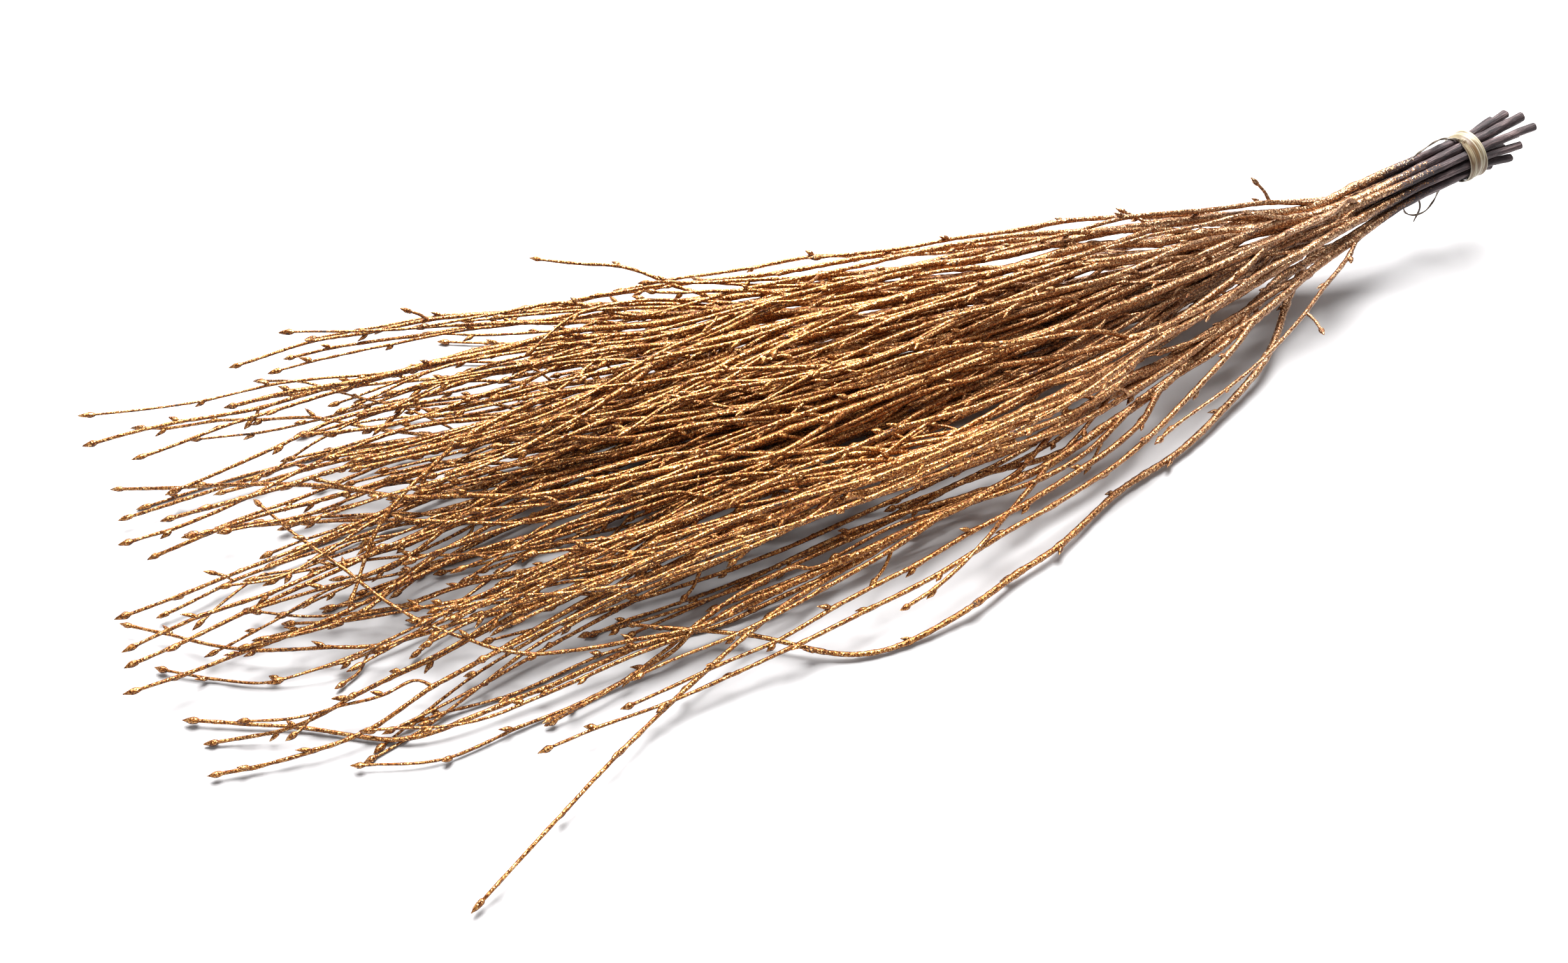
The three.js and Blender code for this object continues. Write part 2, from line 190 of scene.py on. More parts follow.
class Shape:
    """Collects vertices, faces and the grain coordinate of one piece."""

    def __init__(self, offset):
        self.offset = offset  # along the grain, so that no two pieces share a pattern
        self.points, self.grain, self.faces, self.slots = [], [], [], []
        self.count = 0

    def add(self, points, grain, faces, slot=0):
        self.points.append(points)
        self.grain.append(grain + np.array([0, 0, self.offset]))
        self.faces.extend((np.asarray(faces) + self.count).tolist())
        self.slots.extend([slot] * len(faces))
        self.count += len(points)

    def piece(self, name, materials):
        mesh = bpy.data.meshes.new(name)
        mesh.from_pydata(np.vstack(self.points).tolist(), [], self.faces)
        for material in materials:
            mesh.materials.append(material)
        mesh.polygons.foreach_set("material_index", self.slots)
        mesh.polygons.foreach_set("use_smooth", [True] * len(self.faces))
        grain = mesh.attributes.new("grain", "FLOAT_VECTOR", "POINT")
        grain.data.foreach_set("vector", np.vstack(self.grain).ravel())
        mesh.update()
        piece = bpy.data.objects.new(name, mesh)
        bpy.context.scene.collection.objects.link(piece)
        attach(piece, "root")
        return piece


def skin(count, sides):
    """Quads between the rings of a tube."""
    i, j = np.meshgrid(np.arange(count - 1), np.arange(sides), indexing="ij")
    a, b = i * sides + j, i * sides + (j + 1) % sides
    return np.stack([a, b, b + sides, a + sides], axis=-1).reshape(-1, 4)


def tube(shape, line, arc, radii, sides, crust=1.0, cap=None):
    """A twig's skin: wrinkled bark, and over it a crust where it is gilded."""
    along, first, second = frames(line)
    angle = np.arange(sides) * 2 * math.pi / sides
    ring = np.cos(angle)[None, :, None] * first[:, None] + np.sin(angle)[None, :, None] * second[:, None]
    grain = np.empty((len(line), sides, 3))
    grain[..., 0] = radii[:, None] * np.cos(angle)
    grain[..., 1] = radii[:, None] * np.sin(angle)
    grain[..., 2] = arc[:, None]
    flat = (grain + [0, 0, shape.offset]).reshape(-1, 3)
    wrinkle = noise(flat * [1, 1, 0.12], 0.9 * MM, 1).reshape(len(line), sides)
    lump = noise(flat, 2.1 * MM, 2).reshape(len(line), sides)
    speck = noise(flat, 0.75 * MM, 3).reshape(len(line), sides)
    gold = gilded(line)[:, None] * crust * np.clip(radii / (1.4 * MM), 0.45, 1)[:, None]
    radius = radii[:, None] * (1 + 0.13 * wrinkle * (1 - 0.75 * gold) + (0.09 - 0.04 * gold) * lump)
    radius = radius + gold * CRUST * (0.6 + 0.9 * speck + 0.5 * lump)
    points = line[:, None] + ring * radius[..., None]
    points[..., 2] = np.maximum(points[..., 2], 0)
    shape.add(points.reshape(-1, 3), grain.reshape(-1, 3), skin(len(line), sides))
    if cap:
        cut_face(shape, points[0], line[0], along[0], grain[0])


def cut_face(shape, rim, centre, along, grain):
    """The sawn or snipped end of a stem: a bevelled rim, pale or dark wood, and its pith."""
    sides = len(rim)
    rows, coords = [rim], [grain]
    for scale, height in ((0.93, 0.22), (0.72, 0.12), (0.4, 0.18), (0.12, 0.02)):
        bump = rng.uniform(-0.06, 0.06, (sides, 1)) * MM
        rows.append(centre + (rim - centre) * scale - along * (height * MM + bump))
        coords.append(grain * [scale, scale, 1])
    points, grains = np.vstack(rows), np.vstack(coords)
    faces = skin(len(rows), sides)[:, ::-1].tolist()
    shape.add(points, grains, faces, 1)
    last = len(points) - sides
    shape.add(points[last:], grains[last:], [list(range(sides))[::-1]], 1)


def bud(shape, base, direction, length, width, crust=1.0):
    """A pointed ovate bud, with the edges of its scales and its crust of glitter."""
    t = np.array([0, 0.12, 0.3, 0.5, 0.7, 0.88, 1.0])
    profile = np.array([0.55, 0.88, 1.0, 0.9, 0.62, 0.3, 0.04])
    bend = np.cross(direction, [0, 0, 1.0])
    norm = np.linalg.norm(bend)
    bend = bend / norm if norm > 1e-6 else np.array([0, 1.0, 0])
    lean = rng.uniform(-0.08, 0.08)
    line = base + np.outer(t * length, direction) + np.outer(lean * length * t * t, bend)
    scales = 1 + 0.06 * np.sin(t * 22 + rng.uniform(0, 6))
    tube(shape, line, t * length, profile * scales * width / 2, 7, crust)


def kinks(arc, start, end):
    """Where the buds stand along a twig, and the side that each is on."""
    places, turn = [], rng.uniform(0, 2 * math.pi)
    at = start + rng.uniform(4, 20) * MM
    while at < end:
        places.append((at, turn))
        at += rng.uniform(20, 38) * MM
        turn += math.pi + rng.uniform(-0.7, 0.7)
    return places


def wander(line, arc, start, size):
    """Lets a twig drift slowly from side to side beyond the given length."""
    _, first, second = frames(line)
    seeds = rng.uniform(0, 900, 2)
    drift = [noise(np.stack([arc, 0 * arc, 0 * arc], axis=1) + seed, 55 * MM, 7) for seed in seeds]
    grown = ramp(arc, start, start + 60 * MM) * size
    return line + first * (drift[0] * grown)[:, None] + second * (drift[1] * grown)[:, None]


def zigzag(line, arc, places, size):
    """Bends a twig a little towards each of its buds."""
    if not places:
        return line
    _, first, second = frames(line)
    stops = np.array([arc[0]] + [s for s, _ in places] + [arc[-1]])
    x = np.array([0] + [math.cos(a) for _, a in places] + [0]) * size
    y = np.array([0] + [math.sin(a) for _, a in places] + [0]) * size
    return line + first * np.interp(arc, stops, x)[:, None] + second * np.interp(arc, stops, y)[:, None]


def twig(shape, points, radii, sides, start, share=0.0, zig=0.75, cap=False):
    """A limb with its buds and spurs, and fine side twigs at the given share of its bends."""
    line, arc = smooth_line(points, FINE_STEP if sides == FINE_SIDES else STEP)
    knots = arc_lengths(points)
    radius = np.interp(arc, knots * arc[-1] / knots[-1], radii)
    places = kinks(arc, start, arc[-1] - 8 * MM)
    line = zigzag(wander(line, arc, start, WANDER), arc, places, zig * MM)
    radius = radius * (1 - 0.26 * ramp(TIE[0] - line[:, 0], 280 * MM, 540 * MM))
    line[:, 2] = np.maximum(line[:, 2], radius + CRUST)
    for at, _ in places:
        radius = radius * (1 + rng.uniform(0.08, 0.28) * np.exp(-(((arc - at) / (1.7 * MM)) ** 2)))
    tube(shape, line, arc, radius, sides, cap=cap)
    along, first, second = frames(line)
    for at, turn in places:
        i = min(int(np.searchsorted(arc, at)), len(line) - 2)
        out = first[i] * math.cos(turn) + second[i] * math.sin(turn)
        if line[i, 2] < 4 * MM and out[2] < 0:
            out[2] *= -1
        dress(shape, line, i, along[i], out, radius[i], arc[-1] - at, share)
    length, width = rng.uniform(4.6, 6.2) * MM, rng.uniform(2.0, 2.5) * MM
    bud(shape, line[-1] - along[-1] * MM, along[-1], length, width)


def dress(shape, line, i, along, out, radius, left, share):
    """What grows at one bend of a twig: a bud, a spur, a side twig or just a scar."""
    base = line[i] + out * radius * 0.7
    pick = rng.uniform()
    share = share * (1.25 - 0.95 * ramp(TIE[0] - base[0], 240 * MM, 460 * MM))
    if pick < share and left > 45 * MM:
        length = min(left * rng.uniform(0.6, 1.05), rng.uniform(70, 230) * MM)
        side_twig(shape, line, i, out, radius, length)
    elif pick > 0.93:
        spur(shape, base, along, out, radius)
    elif pick < 0.86:
        direction = unit(along + out * rng.uniform(0.35, 0.7))
        bud(shape, base, direction, rng.uniform(3.6, 5.6) * MM, rng.uniform(1.5, 2.2) * MM)


def spur(shape, base, along, out, radius):
    """A short side shoot that ends in a bud."""
    length = rng.uniform(4, 14) * MM
    tip = base + (along * 0.75 + out * rng.uniform(0.5, 0.9)) * length
    middle = (base + tip) / 2 + out * length * 0.08
    middle[2], tip[2] = max(middle[2], 1.5 * MM), max(tip[2], 1.8 * MM)
    thin = min(radius * 0.65, 0.85 * MM)
    line, arc = smooth_line(np.array([base - out * radius * 0.5, middle, tip]), MM)
    tube(shape, line, arc, np.linspace(thin, 0.6 * MM, len(line)), 6)
    length, width = rng.uniform(4, 5.6) * MM, rng.uniform(1.8, 2.3) * MM
    bud(shape, line[-1], unit(line[-1] - line[-3]), length, width)


def side_twig(shape, line, i, out, radius, length):
    """A fine twig that leaves at a narrow angle and then runs beside its parent."""
    if TIE[0] - line[i, 0] < 210 * MM and rng.uniform() < 0.7:
        length = max(length, rng.uniform(170, 360) * MM)
    reach = np.array([0.0, 0.1, 0.28, 0.52, 0.78, 1.0]) * length
    steps = np.minimum(i + (reach / STEP).astype(int), len(line) - 1)
    points = line[steps].copy()
    beyond = np.maximum(reach - (len(line) - 1 - i) * STEP, 0)
    points += np.outer(beyond, unit(line[-1] - line[-4]))
    offset = (rng.uniform(7, 24) * MM + 0.04 * length) * np.array([0, 0.28, 0.58, 0.82, 1.0, 1.12])
    points += np.outer(offset, out * [1, 1, 0.6])
    points[1:, 1] += np.cumsum(rng.normal(0, 2.2, 5)) * MM
    points[1:, 2] += np.cumsum(rng.normal(0, 1.2, 5)) * MM
    points[:, 1] = np.clip(points[:, 1], cad_box[0][1] - 8 * MM, cad_box[1][1] + 8 * MM)
    points[:, 2] = np.clip(points[:, 2], 1.6 * MM, cad_box[1][2] - 6 * MM)
    thick = min(radius * 0.75, 1.35 * MM if length > 170 * MM else 1.05 * MM)
    twig(shape, points, np.linspace(thick, SIDE_TIP_RADIUS, 6), FINE_SIDES, SIDE_BARE, zig=0.6)


# ---------------------------------------------------------------- materials

# Colour ramps, as places from 0 to 1 and the colours there.
BARK_DARKS = [(0.3, (0.010, 0.006, 0.008)), (0.55, (0.030, 0.015, 0.017)), (0.75, (0.075, 0.038, 0.040))]
# BARK_PALES: partly the bark's own pale streaks, partly a painted highlight on the wrinkles' ridges
BARK_PALES = [(0.3, (0.075, 0.048, 0.050)), (0.7, (0.22, 0.155, 0.150))]
# In GOLD and CHAMPAGNE the palest stops, which few flakes reach, are painted glints
GOLD = [
    (0.22, (0.060, 0.011, 0.001)),
    (0.42, (0.25, 0.066, 0.007)),
    (0.60, (0.58, 0.235, 0.040)),
    (0.78, (0.96, 0.66, 0.32)),
]
CHAMPAGNE = [
    (0.22, (0.060, 0.014, 0.003)),
    (0.42, (0.22, 0.080, 0.025)),
    (0.60, (0.50, 0.26, 0.115)),
    (0.78, (0.92, 0.72, 0.48)),
]
CUT_WOOD = [
    (0.0, (0.05, 0.035, 0.03)),
    (0.16, (0.22, 0.16, 0.125)),
    (0.6, (0.30, 0.225, 0.175)),
    (0.82, (0.40, 0.30, 0.235)),
    (0.97, (0.09, 0.058, 0.052)),
]
STRAW = [(0.32, (0.15, 0.115, 0.060)), (0.5, (0.30, 0.25, 0.155)), (0.68, (0.45, 0.40, 0.28))]
BROWN_BAST = [(0.32, (0.060, 0.030, 0.013)), (0.55, (0.15, 0.085, 0.036)), (0.7, (0.27, 0.18, 0.090))]
SURFACE = [(0.3, (0.61, 0.60, 0.605)), (0.7, (0.63, 0.62, 0.625))]

def add(tree, kind, inputs=None, **settings):
    """A shader node, with its settings and its inputs: values, or sockets to link from."""
    node = tree.nodes.new(kind)
    for key, value in settings.items():
        setattr(node, key, value)
    for key, value in (inputs or {}).items():
        if isinstance(value, bpy.types.NodeSocket):
            tree.links.new(value, node.inputs[key])
        else:
            node.inputs[key].default_value = value
    return node


def material(name):
    made = bpy.data.materials.new(name)
    made.use_nodes = True
    return made, made.node_tree, made.node_tree.nodes["Principled BSDF"]


def math_node(tree, operation, a, b=0.0, clamp=False):
    return add(tree, "ShaderNodeMath", {0: a, 1: b}, operation=operation, use_clamp=clamp).outputs[0]


def remap(tree, value, low, high, to_low=0.0, to_high=1.0):
    inputs = {"Value": value, "From Min": low, "From Max": high, "To Min": to_low, "To Max": to_high}
    return add(tree, "ShaderNodeMapRange", inputs, interpolation_type="SMOOTHSTEP").outputs["Result"]


def colours(tree, value, stops, interpolation="LINEAR"):
    node = add(tree, "ShaderNodeValToRGB", {"Fac": value})
    node.color_ramp.interpolation = interpolation
    elements = node.color_ramp.elements
    while len(elements) < len(stops):
        elements.new(0.5)
    for element, (place, colour) in zip(elements, stops):
        element.position = place
        element.color = (*colour, 1)
    return node.outputs["Color"]


def mix(tree, factor, a, b, blend="MIX"):
    node = add(tree, "ShaderNodeMix", data_type="RGBA", blend_type=blend)
    for key, value in ((0, factor), (6, a), (7, b)):
        if isinstance(value, bpy.types.NodeSocket):
            tree.links.new(value, node.inputs[key])
        else:
            node.inputs[key].default_value = value
    return node.outputs[2]


def mix_value(tree, factor, a, b):
    return add(tree, "ShaderNodeMix", {0: factor, 2: a, 3: b}, data_type="FLOAT").outputs[0]


def vector_math(tree, operation, a, b):
    return add(tree, "ShaderNodeVectorMath", {0: a, 1: b}, operation=operation).outputs[0]


def scaled(tree, vector, scale):
    return vector_math(tree, "MULTIPLY", vector, scale)


def noise_node(tree, vector, scale, detail=3.0, roughness=0.55):
    inputs = {"Vector": vector, "Scale": scale, "Detail": detail, "Roughness": roughness}
    return add(tree, "ShaderNodeTexNoise", inputs).outputs["Fac"]


def bark_colour(tree, grain):
    """Dark purple-brown bark with pale grey-pink streaks on its raised wrinkles: partly the bark's own
    streaks, partly a painted highlight on the ridges.
    """
    wrinkle_streaks_and_highlight = noise_node(tree, scaled(tree, grain, (1, 1, 0.08)), 1000, 5, 0.7)
    patches = noise_node(tree, scaled(tree, grain, (1, 1, 0.35)), 260, 3)
    dark = colours(tree, patches, BARK_DARKS)
    pale = colours(tree, patches, BARK_PALES)
    # the pale colour follows the bump's raised wrinkles: partly the bark's streaks, partly painted highlight
    return mix(tree, remap(tree, wrinkle_streaks_and_highlight, 0.47, 0.62), dark, pale), wrinkle_streaks_and_highlight


def twig_material():
    """Bark, and over it gold flakes: sparse at the neck, dense on the fan's upper side and thinner below,
    partly as a spray leaves it and partly as painted shade.
    """
    made, tree, bsdf = material("gilded twig")
    grain = add(tree, "ShaderNodeAttribute", attribute_name="grain").outputs["Vector"]
    place = add(tree, "ShaderNodeTexCoord").outputs["Object"]
    normal = add(tree, "ShaderNodeNewGeometry").outputs["Normal"]
    x = add(tree, "ShaderNodeSeparateXYZ", {0: place}).outputs["X"]
    up = add(tree, "ShaderNodeSeparateXYZ", {0: normal}).outputs["Z"]

    flakes = add(tree, "ShaderNodeTexVoronoi", {"Vector": place, "Scale": 2300}, feature="F1")
    parts = add(tree, "ShaderNodeSeparateColor", {0: flakes.outputs["Color"]})
    grit = noise_node(tree, place, 900, 3, 0.6)

    # how much of the twig the glitter covers: less on the undersides, most of all towards the tips, partly
    # the spray's reach and partly painted shade
    blotch = noise_node(tree, place, 70, 4, 0.6)
    edge = math_node(tree, "ADD", x, math_node(tree, "MULTIPLY", up, -16 * MM))
    edge = math_node(tree, "ADD", edge, math_node(tree, "MULTIPLY", blotch, 46 * MM))
    sprayed = remap(tree, edge, TIE[0] - 10 * MM, TIE[0] - 50 * MM)
    bare = noise_node(tree, scaled(tree, grain, (1, 1, 0.5)), 60, 3, 0.6)
    worn = remap(tree, bare, 0.60, 0.70, 1.0, 0.5)
    far = remap(tree, x, TIE[0] - 230 * MM, TIE[0] - 470 * MM)
    neck_spray_and_shade = remap(tree, up, -0.9, 0.25, 0.72, 1.0)
    tips_spray_and_shade = remap(tree, up, -0.45, 0.6, 0.12, 0.95)
    side = mix_value(tree, far, neck_spray_and_shade, tips_spray_and_shade)
    cover = math_node(tree, "MULTIPLY", math_node(tree, "MULTIPLY", sprayed, worn), side)
    shown = math_node(tree, "GREATER_THAN", cover, math_node(tree, "MULTIPLY", parts.outputs["Red"], 0.97))

    # the flakes' colours, paler towards the neck: random tones, with painted glints on the palest flakes
    flake_tone = math_node(tree, "MULTIPLY", parts.outputs["Green"], 0.42)
    tone = math_node(tree, "ADD", flake_tone, math_node(tree, "MULTIPLY", grit, 0.58))
    gold = colours(tree, tone, GOLD)
    champagne = colours(tree, tone, CHAMPAGNE)
    near = remap(tree, x, TIE[0] - 330 * MM, TIE[0] - 90 * MM)
    glitter = mix(tree, near, gold, champagne)
    bark, wrinkle_streaks_and_highlight = bark_colour(tree, grain)
    # a dark brown tint under the glitter: partly glue, partly painted shade where it fills the bare
    # undersides
    glue_tint_and_shade = mix(tree, math_node(tree, "MULTIPLY", sprayed, 0.75), bark, (0.055, 0.018, 0.005, 1))
    tree.links.new(mix(tree, shown, glue_tint_and_shade, glitter), bsdf.inputs["Base Color"])
    tree.links.new(math_node(tree, "MULTIPLY", shown, 0.85), bsdf.inputs["Metallic"])
    rough = remap(tree, parts.outputs["Blue"], 0.0, 0.3, 0.2, 0.4)
    tree.links.new(mix_value(tree, shown, 0.56, rough), bsdf.inputs["Roughness"])
    tree.links.new(math_node(tree, "MULTIPLY", shown, 0.35), bsdf.inputs["Coat Weight"])
    bsdf.inputs["Coat IOR"].default_value = 1.65
    bsdf.inputs["Coat Roughness"].default_value = 0.24

    # each flake lies at its own tilt
    tilt = vector_math(tree, "SUBTRACT", flakes.outputs["Color"], (0.5, 0.5, 0.5))
    amount = math_node(tree, "MULTIPLY", shown, 0.42)
    lean = add(tree, "ShaderNodeVectorMath", {0: tilt, "Scale": amount}, operation="SCALE").outputs[0]
    tilted = vector_math(tree, "ADD", normal, lean)
    tilted = add(tree, "ShaderNodeVectorMath", {0: tilted}, operation="NORMALIZE").outputs[0]
    height = mix_value(tree, shown, wrinkle_streaks_and_highlight, grit)
    depth = mix_value(tree, shown, 0.95, 0.6)
    relief = {"Height": height, "Strength": depth, "Distance": 0.6 * MM, "Normal": tilted}
    bump = add(tree, "ShaderNodeBump", relief)
    tree.links.new(bump.outputs[0], bsdf.inputs["Normal"])
    tree.links.new(bump.outputs[0], bsdf.inputs["Coat Normal"])
    return made


def cut_material():
    """Cut ends: weathered grey-brown wood with a pale ring under the bark and a dark pith."""
    made, tree, bsdf = material("cut wood")
    grain = add(tree, "ShaderNodeAttribute", attribute_name="grain").outputs["Vector"]
    flat = scaled(tree, grain, (1, 1, 0))
    radius = add(tree, "ShaderNodeVectorMath", {0: flat}, operation="LENGTH").outputs["Value"]
    wood = colours(tree, remap(tree, radius, 0, 2.1 * MM), CUT_WOOD)
    growth = noise_node(tree, flat, 1900, 3)
    wood = mix(tree, remap(tree, growth, 0.35, 0.65, 0.0, 0.7), wood, (0.10, 0.07, 0.062, 1))
    aged = noise_node(tree, scaled(tree, grain, (0, 0, 1)), 0.9, 0)
    wood = mix(tree, remap(tree, aged, 0.44, 0.58, 0.1, 0.85), wood, (0.075, 0.055, 0.052, 1))
    tree.links.new(wood, bsdf.inputs["Base Color"])
    bsdf.inputs["Roughness"].default_value = 0.72
    bump = add(tree, "ShaderNodeBump", {"Height": growth, "Strength": 0.6, "Distance": 0.2 * MM})
    tree.links.new(bump.outputs[0], bsdf.inputs["Normal"])
    return made


def bast_material():
    """Dry bast: satin straw-coloured fibres, brown in places, with pale thin edges, partly the bast's own
    and partly a painted highlight.
    """
    made, tree, bsdf = material("dry bast")
    grain = add(tree, "ShaderNodeAttribute", attribute_name="grain").outputs["Vector"]
    fibres = noise_node(tree, scaled(tree, grain, (1, 1, 0.03)), 3300, 4, 0.6)
    stains = noise_node(tree, scaled(tree, grain, (1, 1, 0.12)), 420, 3)
    parts = add(tree, "ShaderNodeSeparateXYZ", {0: grain})
    across = math_node(tree, "ABSOLUTE", parts.outputs["X"])
    straw = colours(tree, fibres, STRAW)
    brown = colours(tree, fibres, BROWN_BAST)
    colour = mix(tree, remap(tree, stains, 0.44, 0.58), straw, brown)
    # pale edges across the strip: partly the bast's own, partly a painted highlight along them
    colour = mix(tree, remap(tree, across, 0.8 * MM, 1.25 * MM, 0, 0.7), colour, (0.52, 0.47, 0.35, 1))
    tail = remap(tree, parts.outputs["Y"], 8 * MM, 18 * MM, 0, 0.85)
    colour = mix(tree, tail, colour, (0.075, 0.052, 0.04, 1))
    tree.links.new(colour, bsdf.inputs["Base Color"])
    bsdf.inputs["Roughness"].default_value = 0.38
    bump = add(tree, "ShaderNodeBump", {"Height": fibres, "Strength": 0.6, "Distance": 0.25 * MM})
    tree.links.new(bump.outputs[0], bsdf.inputs["Normal"])
    return made


# ---------------------------------------------------------------- the tie

AXIS = unit((BEFORE_TIE - TIE) * [1, 0, 1])  # rises to the cut ends
NECK_UP = np.array([-AXIS[2], 0, AXIS[0]])
SIDE = np.array([0, 1.0, 0])
WOUND_RADIUS = 10.5 * MM
PITCH = 1.9 * MM
TURNS, START = 3.4, 0.56 * math.pi
STEPS_PER_TURN = 60
WOUND_HALF_WIDTH, TAIL_HALF_WIDTH = 1.5 * MM, 0.5 * MM
WOUND_HALF_THICKNESS, TAIL_HALF_THICKNESS = 0.2 * MM, 0.3 * MM
TAIL_MARK = 20 * MM  # added to the grain's Y on a tail, where the bast's material reads it
TAPER = np.array([0.3, 0.55, 0.75, 0.9])  # at the strip's two tips
FACE_POINTS = 13  # across each of the strip's two faces
# The tails' routes in millimetres, as x from the tie, y and height, from the winding outwards.
LONG_TAIL = [
    (1, 1, 26.5),
    (-4.5, 1, 23.5),
    (-10, -2.5, 22),
    (-13.5, -3, 17),
    (-17, -0.5, 13.8),
    (-21, 1.5, 15.5),
    (-20.5, 3.5, 19),
    (-15, 3, 20.5),
    (-12, 1.5, 15),
    (-13.7, 0.5, 8),
]
SHORT_TAIL = [(-6, 7, 48), (-14, 6, 49.5), (-24, 4, 48.5), (-33, 2, 46)]


def winding():
    """The wound part's line, and the direction out of the neck at each of its points."""
    turn = np.arange(round(TURNS * STEPS_PER_TURN) + 1) / STEPS_PER_TURN
    angle = START + 2 * math.pi * turn
    travel = (turn - TURNS / 2) * PITCH + 0.55 * MM * np.sin(angle * 0.83 + 1.0)
    out = np.outer(np.cos(angle), SIDE) + np.outer(np.sin(angle), NECK_UP)
    radius = WOUND_RADIUS + 0.2 * MM * np.sin(angle * 2.3) - 0.1 * MM
    return TIE + out * radius[:, None] + np.outer(travel, AXIS), out


def tail_line(end, inner, guide):
    """A tail that leaves the winding's end the way the strip goes there."""
    route = TIE * [1, 1, 0] + np.array(guide) * MM
    return smooth_line(np.array([end, end + (end - inner) * 0.9, *route]), MM)[0][1:]


def strip_line():
    """The whole strip's line, a direction out of its face, and the steps into a tail."""
    wound, out = winding()
    short = tail_line(wound[0], wound[2], SHORT_TAIL)[::-1]
    long = tail_line(wound[-1], wound[-3], LONG_TAIL)
    line = np.vstack([short, wound, long])
    normal = np.vstack([np.tile(out[0], (len(short), 1)), out, np.tile(out[-1], (len(long), 1))])
    index = np.arange(len(line))
    beyond = np.maximum(np.maximum(len(short) - index, index - len(short) - len(wound) + 1), 0)
    return line, normal, beyond


def tie_strip(materials):
    """One bast strip: its wound part lies in overlapping turns, and its tails are twisted thin."""
    line, normal, beyond = strip_line()
    along = unit_rows(np.gradient(line, axis=0))
    arc = arc_lengths(line)
    thin = ramp(beyond, 0, 7)
    normal = unit_rows(normal - along * np.sum(normal * along, axis=1)[:, None])
    width = np.cross(along, normal)
    twist = (beyond * 0.34 + (0.3 + 0.1 * np.sin(arc * 90)) * (1 - thin))[:, None]
    normal, width = (
        normal * np.cos(twist) + width * np.sin(twist),
        width * np.cos(twist) - normal * np.sin(twist),
    )
    wave = 0.25 * MM * np.sin(arc * 120)
    half_width = (WOUND_HALF_WIDTH + wave) * (1 - thin) + TAIL_HALF_WIDTH * thin
    half_width[:4] *= TAPER
    half_width[-4:] *= TAPER[::-1]
    half_thick = WOUND_HALF_THICKNESS * (1 - thin) + TAIL_HALF_THICKNESS * thin
    face = np.linspace(-1, 1, FACE_POINTS)
    across = np.concatenate([face, face[::-1][1:-1]])
    upper = np.concatenate([np.ones(FACE_POINTS), -np.ones(FACE_POINTS - 2)])
    edge = np.sqrt(np.clip(1 - np.abs(across) ** 3, 0, 1)) * 0.9 + 0.1
    sideways = across * half_width[:, None]
    grain = np.empty((len(line), len(across), 3))
    grain[..., 0] = sideways * np.where(thin > 0.5, 0.4, 1)[:, None]
    grain[..., 1] = upper * 0.2 * MM + TAIL_MARK * thin[:, None]
    grain[..., 2] = arc[:, None]
    ridges = noise((grain * [1, 0, 0.05]).reshape(-1, 3), 0.42 * MM, 5).reshape(len(line), -1)
    curl = 0.5 * MM * (across**2) * (1 - thin)[:, None] * np.sin(arc * 260)[:, None]
    rise = upper * half_thick[:, None] * edge + ridges * 0.11 * MM + curl * 0.35
    points = line[:, None] + width[:, None] * sideways[..., None] + normal[:, None] * rise[..., None]
    shape = Shape(50.0)
    shape.add(points.reshape(-1, 3), grain.reshape(-1, 3), skin(len(line), len(across)))
    rim = len(across)
    close_ends(shape, rim, len(line) * rim - rim)
    piece = shape.piece("bast_strip", materials)
    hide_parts("tie_strip")


def close_ends(shape, rim, last):
    """A face over each end of a tube whose rings have the given number of points."""
    shape.faces.extend([list(range(rim))[::-1], [last + j for j in range(rim)]])
    shape.slots.extend([0, 0])


# ---------------------------------------------------------------- the bundle

# The near side's stems carry the most side twigs. The twigs that stand alone, outside the
# mass, carry buds and spurs but no side twigs.
LUSH = {"stem_09", "stem_10", "stem_11", "stem_12", "stem_02", "stem_03"}
BARE = {
    "stem_11_branch_a",
    "stem_10_branch_a",
    "stem_10_branch_b",
    "stem_10_branch_c",
    "stem_07_branch_c",
}


def build_bundle():
    materials = [twig_material(), cut_material()]
    for number, (stem, (centres, radii)) in enumerate(STEMS.items()):
        shape = Shape(GRAIN_STEP * (4 * number + 1))
        share = SIDE_TWIGS * (LUSH_SHARE if stem in LUSH else 1)
        twig(shape, centres, radii * STEM_SWELL, STEM_SIDES, STEM_BARE, share, cap=True)
        piece = shape.piece(stem.replace("stem", "twig"), materials)
        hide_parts(stem)
        for k, letter in enumerate("abc"):
            centres_b, radii_b = branch_rings(stem, letter)
            shape = Shape(GRAIN_STEP * (4 * number + 2 + k))
            share = 0.0 if f"{stem}_branch_{letter}" in BARE else SIDE_TWIGS
            twig(shape, centres_b, radii_b, BRANCH_SIDES, BRANCH_BARE, share)
            piece = shape.piece(f"{stem.replace('stem', 'twig')}_fork_{letter}", materials)
            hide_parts(f"{stem}_branch_{letter}")
    tie_strip([bast_material()])


# ---------------------------------------------------------------- surface, light, camera


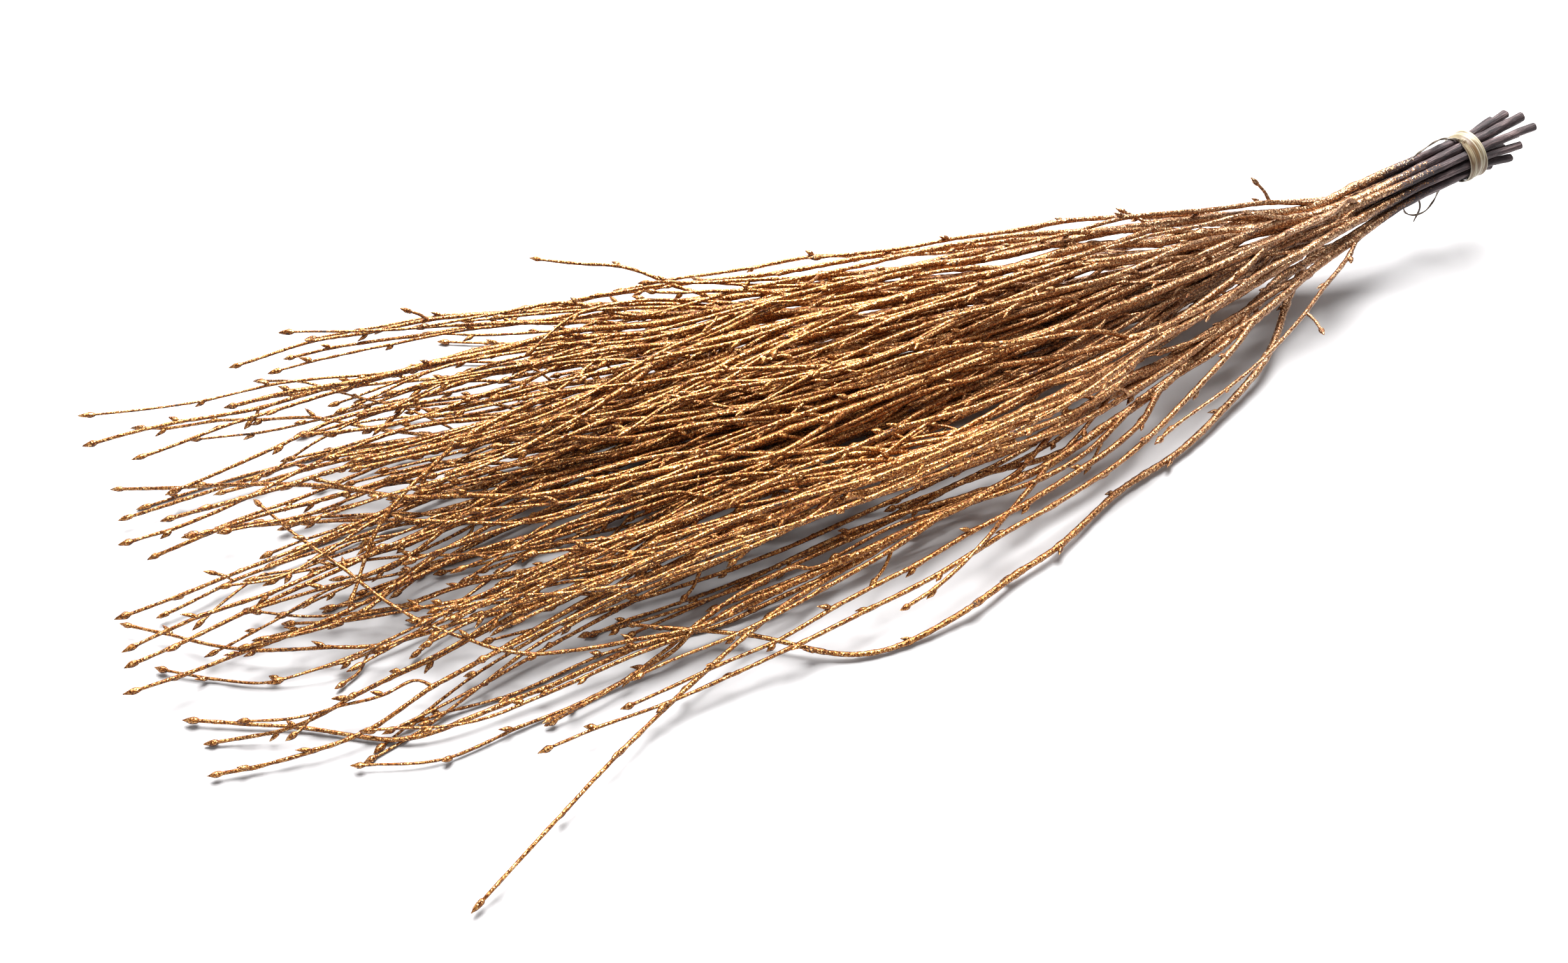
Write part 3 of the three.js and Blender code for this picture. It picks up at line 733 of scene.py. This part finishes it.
def build_floor():
    made, tree, bsdf = material("white surface")
    place = add(tree, "ShaderNodeTexCoord").outputs["Object"]
    mottle = noise_node(tree, place, 6, 2)
    tree.links.new(colours(tree, mottle, SURFACE), bsdf.inputs["Base Color"])
    bsdf.inputs["Roughness"].default_value = 0.6
    mesh = bpy.data.meshes.new("floor")
    mesh.from_pydata([(-6, -6, 0), (6, -6, 0), (6, 6, 0), (-6, 6, 0)], [], [(0, 1, 2, 3)])
    mesh.materials.append(made)
    floor = bpy.data.objects.new("floor", mesh)
    bpy.context.scene.collection.objects.link(floor)


def area_light(name, location, target, size, power, colour=(1, 1, 1)):
    light = bpy.data.lights.new(name, "AREA")
    light.energy, light.size, light.color = power, size, colour
    lamp = bpy.data.objects.new(name, light)
    lamp.location = location
    lamp.rotation_euler = (Vector(target) - Vector(location)).to_track_quat("-Z", "Y").to_euler()
    bpy.context.scene.collection.objects.link(lamp)


def build_lights():
    scene = bpy.context.scene
    scene.world = bpy.data.worlds.new("studio")
    scene.world.use_nodes = True
    background = scene.world.node_tree.nodes["Background"]
    background.inputs["Color"].default_value = (1.0, 0.985, 0.99, 1)
    background.inputs["Strength"].default_value = 0.36
    area_light("key", (0.3, 0.8, 1.35), (0, 0, 0), 1.15, 96)
    scene.view_settings.view_transform = "Standard"


CAMERA_FROM_TIE = Vector((-0.5014, -0.3554, 0.4507))  # on the ground below the tie
CAMERA_TURN, CAMERA_DIP = math.radians(25), math.radians(50)
SENSOR_WIDTH, LENS = 36, 33.645


def build_camera():
    """Looks down at the bundle from its near side, a little from the tips' end."""
    data = bpy.data.cameras.new("camera")
    data.sensor_width, data.lens = SENSOR_WIDTH, LENS
    camera = bpy.data.objects.new("camera", data)
    level = math.cos(CAMERA_DIP)
    forward = Vector((math.sin(CAMERA_TURN) * level, math.cos(CAMERA_TURN) * level, -math.sin(CAMERA_DIP)))
    camera.location = Vector(TIE * [1, 1, 0]) + CAMERA_FROM_TIE
    camera.rotation_euler = forward.to_track_quat("-Z", "Y").to_euler()
    bpy.context.scene.collection.objects.link(camera)
    bpy.context.scene.camera = camera


build_camera()
build_lights()
build_floor()
build_bundle()
